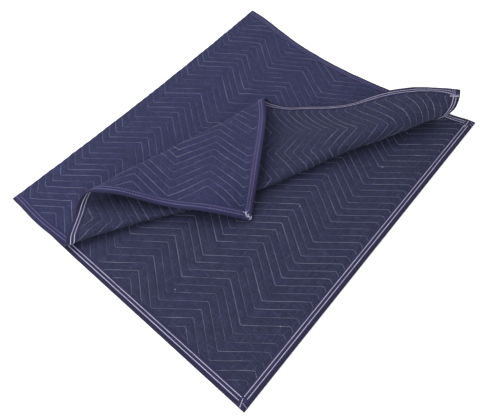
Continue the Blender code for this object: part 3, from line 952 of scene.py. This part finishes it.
class BLANKET_OT_make_quilting_thread(bpy.types.Operator):
    """Lay the zigzag quilting thread in the seams of both faces, with its knots"""
    bl_idname = "blanket.make_quilting_thread"
    bl_label = "Quilting thread"

    def execute(self, context):
        sizes = context.scene.blanket_sizes
        colours = context.scene.blanket_colours
        material = thread_material("quilting_thread", colours.quilt_thread, colours.quilt_faded)
        stitch = model_stitch()
        parts = [spaced_stitches(run, sizes.stitch, QUILT_GAP) for run in quilting_runs()]
        starts = np.vstack([part[0] for part in parts])
        ends = np.vstack([part[1] for part in parts])
        for face, name, low, high in QUILT_FACES:
            fades = []
            for index, part in enumerate(parts):
                distances = np.arange(len(part[0])) * sizes.stitch
                fades.append(run_fade(distances, 100 * index + face + 1, low, high, QUILT_LEVEL_REACH))
            piece = lay_stitches(name, stitch, starts, ends, sizes.thread, QUILT_HEIGHT, puff, face,
                                 material, np.concatenate(fades))
        self.tie_knots(stitch, material)
        return {"FINISHED"}

    def tie_knots(self, stitch, material):
        starts = []
        ends = []
        for index, knot in enumerate(KNOTS):
            for heading in KNOT_HEADINGS:
                reach = KNOT_SIZE / 2 * np.array([math.cos(heading + index), math.sin(heading + index)])
                starts.append(np.array(knot) - reach)
                ends.append(np.array(knot) + reach)
        piece = lay_stitches("thread_knots", stitch, starts, ends, KNOT_WIDTH, KNOT_WIDTH, puff, 1, material,
                             KNOT_LEVEL)


class BLANKET_OT_make_binding_thread(bpy.types.Operator):
    """Sew the twin rows on both faces of every tape, their rungs, and the short seams at the corners"""
    bl_idname = "blanket.make_binding_thread"
    bl_label = "Binding thread"

    def execute(self, context):
        sizes = context.scene.blanket_sizes
        colours = context.scene.blanket_colours
        bright = thread_material("row_thread", colours.row_thread, colours.row_faded)
        violet = thread_material("looper_thread", colours.looper_thread, colours.looper_faded)
        stitch = model_stitch()
        for side, cad_node in TAPE_SIDES:
            part = cad_node[len("binding_"):]
            starts, ends, fade = self.rows(side, sizes.row_stitch, ROW_GAP, ROW_LEVELS)
            lay_stitches("rows_inner_" + part, stitch, starts, ends, sizes.row_thread, ROW_HEIGHT,
                         tape_level(side), 1, bright, fade)
            starts, ends, fade = self.rows(side, sizes.looper_stitch, LOOPER_GAP, LOOPER_LEVELS)
            lay_stitches("rows_outer_" + part, stitch, starts, ends, sizes.looper_thread, LOOPER_HEIGHT,
                         tape_level(side), -1, violet, fade)
            starts, ends = self.rungs(side)
            lay_stitches("rungs_outer_" + part, stitch, starts, ends, RUNG_WIDTH, LOOPER_HEIGHT,
                         tape_level(side), -1, violet, RUNG_LEVEL)
        self.sew_corners(stitch, bright)
        return {"FINISHED"}

    def rows(self, side, step, gap, levels):
        full = WIDTH if side in ("lower", "upper") else LENGTH
        starts = []
        ends = []
        fades = []
        for index, depth in enumerate(ROW_DEPTHS):
            path = side_place(side, depth, np.linspace(CORNER_CLEAR, full - CORNER_CLEAR, ROW_POINTS))
            start, end = spaced_stitches(path, step, gap)
            starts.append(start)
            ends.append(end)
            distances = np.arange(len(start)) * step
            fades.append(run_fade(distances, 7 * index + len(side), *levels, ROW_LEVEL_REACH))
        return np.vstack(starts), np.vstack(ends), np.concatenate(fades)

    def rungs(self, side):
        starts = []
        ends = []
        for row in RUNGS:
            if row["side"] != side:
                continue
            count = int((row["end"] - row["start"]) / row["step"])
            places = row["start"] + row["step"] * np.arange(count)
            starts.append(side_place(side, ROW_DEPTHS[0] + RUNG_CLEAR, places))
            ends.append(side_place(side, ROW_DEPTHS[1] - RUNG_CLEAR, places + RUNG_LEAN))
        return np.vstack(starts), np.vstack(ends)

    def sew_corners(self, stitch, material):
        for face, name in ((1, "corner_seams_inner"), (-1, "corner_seams_outer")):
            seams = [seam for seam in SEAMS if seam["face"] == face]
            parts = [spaced_stitches((seam["start"], seam["end"]), SEAM_STITCH, ROW_GAP) for seam in seams]
            fade = np.concatenate([np.full(len(part[0]), seam["fade"]) for part, seam in zip(parts, seams)])
            starts = np.vstack([part[0] for part in parts])
            ends = np.vstack([part[1] for part in parts])
            lay_stitches(name, stitch, starts, ends, SEAM_WIDTH, SEAM_HEIGHT,
                         lambda flat: np.full(len(flat), TAPE_OUTSIDE), face, material, fade)


class BLANKET_OT_set_stage(bpy.types.Operator):
    """Set the pale floor, the soft lights and the camera"""
    bl_idname = "blanket.set_stage"
    bl_label = "Studio"

    def execute(self, context):
        studio = context.scene.blanket_studio
        bpy.ops.object.select_all(action="DESELECT")
        bpy.ops.mesh.primitive_plane_add(size=FLOOR_SIZE, location=(0, 0, FLOOR_LEVEL))
        floor = context.object
        floor.name = "studio_floor"
        bpy.ops.object.transform_apply(location=True, rotation=True, scale=True)
        material, _, shader = new_material("pale_floor", studio.floor, 0.9)
        shader.inputs["Emission Color"].default_value = (1, 1, 1, 1)
        shader.inputs["Emission Strength"].default_value = studio.floor_glow
        floor.data.materials.append(material)
        self.light_world(context, studio)
        self.add_light("key_light", *KEY_LIGHT, studio.key)
        self.add_light("fill_light", *FILL_LIGHT, studio.fill)
        self.place_camera(context, studio)
        context.scene.view_settings.view_transform = "Standard"
        return {"FINISHED"}

    def light_world(self, context, studio):
        world = bpy.data.worlds.new("studio_surround")
        world.use_nodes = True
        surround = world.node_tree.nodes["Background"]
        surround.inputs["Color"].default_value = (1, 1, 1, 1)
        surround.inputs["Strength"].default_value = studio.sky
        context.scene.world = world

    def add_light(self, name, place, aim, size, power):
        facing = (Vector(aim) - Vector(place)).to_track_quat("-Z", "Y").to_euler()
        bpy.ops.object.light_add(type="AREA", location=place, rotation=facing)
        light = bpy.context.object
        light.name = name
        light.data.size = size
        light.data.energy = power

    def place_camera(self, context, studio):
        place = Vector(studio.camera_place)
        facing = (Vector(studio.camera_aim) - place).to_track_quat("-Z", "Y")
        facing = facing @ Quaternion((0, 0, 1), studio.camera_roll)
        bpy.ops.object.camera_add(location=place, rotation=facing.to_euler())
        camera = context.object
        camera.data.lens = studio.camera_lens
        camera.data.sensor_width = 36
        context.scene.camera = camera


class BLANKET_PT_panel(bpy.types.Panel):
    """Steps that make the blanket, in order"""
    bl_idname = "BLANKET_PT_panel"
    bl_label = "Blanket"
    bl_space_type = "VIEW_3D"
    bl_region_type = "UI"
    bl_category = "Blanket"

    def draw(self, context):
        for maker in MAKERS:
            self.layout.operator(maker.bl_idname)
        for _, name in GROUPS:
            box = self.layout.box()
            group = getattr(context.scene, name)
            for setting in group.__annotations__:
                box.prop(group, setting)


GROUPS = (
    (BlanketSizes, "blanket_sizes"),
    (BlanketColours, "blanket_colours"),
    (StudioSettings, "blanket_studio"),
)
MAKERS = (
    BLANKET_OT_make_cloth,
    BLANKET_OT_make_binding,
    BLANKET_OT_make_quilting_thread,
    BLANKET_OT_make_binding_thread,
    BLANKET_OT_set_stage,
)


def register():
    for group, name in GROUPS:
        bpy.utils.register_class(group)
        setattr(bpy.types.Scene, name, bpy.props.PointerProperty(type=group))
    for maker in MAKERS:
        bpy.utils.register_class(maker)
    bpy.utils.register_class(BLANKET_PT_panel)


def unregister():
    bpy.utils.unregister_class(BLANKET_PT_panel)
    for maker in reversed(MAKERS):
        bpy.utils.unregister_class(maker)
    for group, name in reversed(GROUPS):
        delattr(bpy.types.Scene, name)
        bpy.utils.unregister_class(group)


def main():
    register()
    bpy.ops.blanket.make_cloth()
    bpy.ops.blanket.make_binding()
    bpy.ops.blanket.make_quilting_thread()
    bpy.ops.blanket.make_binding_thread()
    bpy.ops.blanket.set_stage()


if __name__ == "__main__":
    main()
